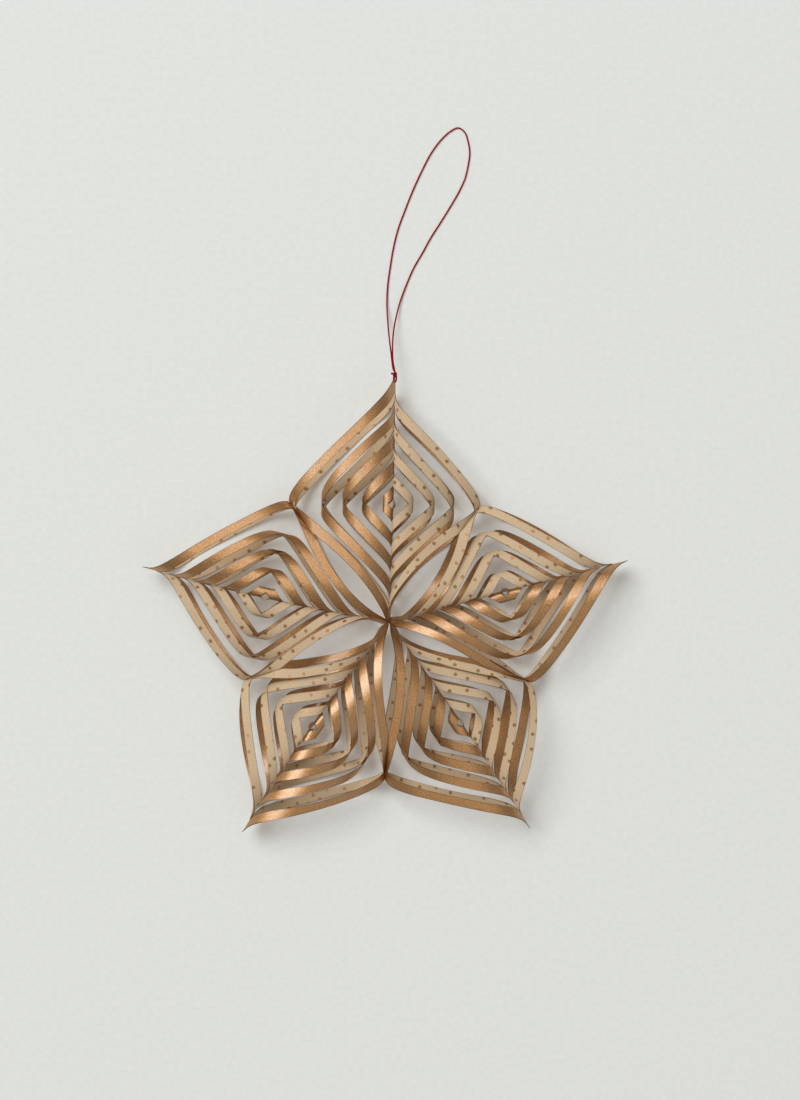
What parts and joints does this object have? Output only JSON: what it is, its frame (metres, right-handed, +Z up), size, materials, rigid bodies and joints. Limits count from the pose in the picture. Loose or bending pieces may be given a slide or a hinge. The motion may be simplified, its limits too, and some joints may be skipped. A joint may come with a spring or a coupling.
{
  "type": "paper star ornament",
  "caption": "Folk paper star of slit and curled petal sheets glued corner to corner round a hub, with a knotted thread loop that swings at one tip for hanging.",
  "frame": {"origin": "under the middle of the star's outline, on the surface that it lies on", "axes": "+Z up out of the star's face, +Y along the petal that carries the thread, +X to the right seen from above"},
  "size_m": [0.217, 0.3165, 0.0211],
  "materials": {
    "petal_paper": "one face satin metallic bronze, the other matt cream with small copper dots",
    "glue": "dried craft glue, slightly glossy",
    "thread": "twisted dark red cotton thread"
  },
  "bodies": {
    "star": {"petal_top": "petal_paper", "petal_right": "petal_paper", "petal_lower_right": "petal_paper", "petal_lower_left": "petal_paper", "petal_left": "petal_paper", "glue_top_right": "glue", "glue_right": "glue", "glue_bottom": "glue", "glue_left": "glue", "glue_top_left": "glue", "glue_hub": "glue"},
    "knot": {"thread_knot": "thread"},
    "loop": {"thread_loop": "thread"}
  },
  "joints": [
    {"name": "thread_lift", "type": "hinge", "parent": "star", "child": "knot", "pos_m": [0.00449, 0.09952, 0.01056], "axis": [0.9997, -0.0244, 0], "range_deg": [0, 100]},
    {"name": "thread_sway", "type": "hinge", "parent": "knot", "child": "loop", "pos_m": [0.0046, 0.10374, 0.01056], "axis": [0, 0, 1], "range_deg": [-65, 95]}
  ]
}
